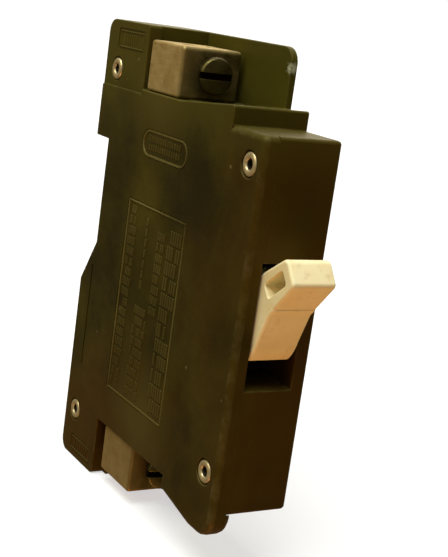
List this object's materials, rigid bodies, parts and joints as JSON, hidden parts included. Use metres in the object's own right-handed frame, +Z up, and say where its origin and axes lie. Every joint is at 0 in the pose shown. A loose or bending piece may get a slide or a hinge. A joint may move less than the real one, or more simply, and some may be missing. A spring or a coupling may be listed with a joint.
{
  "type": "circuit breaker",
  "caption": "Single-pole moulded-case circuit breaker with a toggle handle, thermal-magnetic trip and a box lug at each end.",
  "frame": {"origin": "centre of the lower rear mounting pad, on the plane the breaker sits against", "axes": "+Z up along the height, line end up; +Y out of the back; the handle faces -Y; X across the pole"},
  "size_m": [0.0254, 0.1201, 0.1526],
  "materials": {
    "case": "dark olive-brown moulded phenolic, satin",
    "handle": "cream moulded plastic, satin",
    "eyelet": "rolled, dull",
    "lug": "tinned, dull",
    "screw": "dark oxide, slightly worn",
    "steel": "zinc plated",
    "iron": "plain steel",
    "copper": "bare copper",
    "brass": "turned",
    "contact": "silver alloy",
    "bimetal": "rolled",
    "fibre": "vulcanised fibre"
  },
  "bodies": {
    "case": {"housing": "case", "cover": "case", "case_rivets": "eyelet", "toggle_pin": "steel", "line_lug": "lug", "line_strap": "copper", "fixed_contact": "contact", "load_lug": "lug", "load_strap": "copper", "cradle_pin": "steel", "bimetal": "bimetal", "magnet_yoke": "iron", "armature_pin": "steel", "armature_spring": "steel", "calibration_screw": "brass", "braid": "copper", "arc_wall_left": "fibre", "arc_wall_right": "fibre", "arc_plates": "steel"},
    "toggle": {"toggle": "handle", "toggle_spring_pin": "steel", "main_spring": "steel"},
    "cradle": {"cradle": "steel"},
    "contact_arm": {"contact_arm": "copper", "moving_contact": "contact", "arm_pivot_pins": "steel", "arm_spring_pin": "steel"},
    "armature": {"armature": "iron"},
    "line_saddle": {"line_wire_saddle": "steel"},
    "line_screw": {"line_lug_screw": "screw"},
    "load_saddle": {"load_wire_saddle": "steel"},
    "load_screw": {"load_lug_screw": "screw"}
  },
  "joints": [
    {"name": "toggle_throw", "type": "hinge", "parent": "case", "child": "toggle", "pos_m": [0, -0.0934, 0.0452], "axis": [1, 0, 0], "range_deg": [0, 75], "deforming": ["main_spring"]},
    {"name": "cradle_trip", "type": "hinge", "parent": "case", "child": "cradle", "pos_m": [0, -0.0794, 0.024], "axis": [1, 0, 0], "range_deg": [0, 10]},
    {"name": "contact_swing", "type": "hinge", "parent": "cradle", "child": "contact_arm", "pos_m": [0, -0.0714, 0.048], "axis": [1, 0, 0], "range_deg": [0, 22.5], "deforming": ["braid"]},
    {"name": "armature_pull", "type": "hinge", "parent": "case", "child": "armature", "pos_m": [0, -0.0388, 0.008], "axis": [-1, 0, 0], "range_deg": [0, 6], "stiffness_Nm_per_rad": 0.03, "springref_deg": -8.59, "deforming": ["armature_spring"]},
    {"name": "line_saddle_feed", "type": "slide", "parent": "case", "child": "line_saddle", "axis": [0, 1, 0], "range_m": [0, 0.00212]},
    {"name": "line_screw_turn", "type": "hinge", "parent": "line_saddle", "child": "line_screw", "pos_m": [-0.0016, -0.0554, 0.1095], "axis": [0, 1, 0], "range_deg": [0, 721]},
    {"name": "load_saddle_feed", "type": "slide", "parent": "case", "child": "load_saddle", "axis": [0, 1, 0], "range_m": [0, 0.00212]},
    {"name": "load_screw_turn", "type": "hinge", "parent": "load_saddle", "child": "load_screw", "pos_m": [-0.0016, -0.0554, -0.0189], "axis": [0, 1, 0], "range_deg": [0, 721]}
  ],
  "couplings": [
    {"joint": "contact_swing", "follows": "toggle_throw", "ratio": 0.29333},
    {"joint": "line_screw_turn", "follows": "line_saddle_feed", "rad_per_m": 5936.9},
    {"joint": "load_screw_turn", "follows": "load_saddle_feed", "rad_per_m": 5936.9}
  ]
}
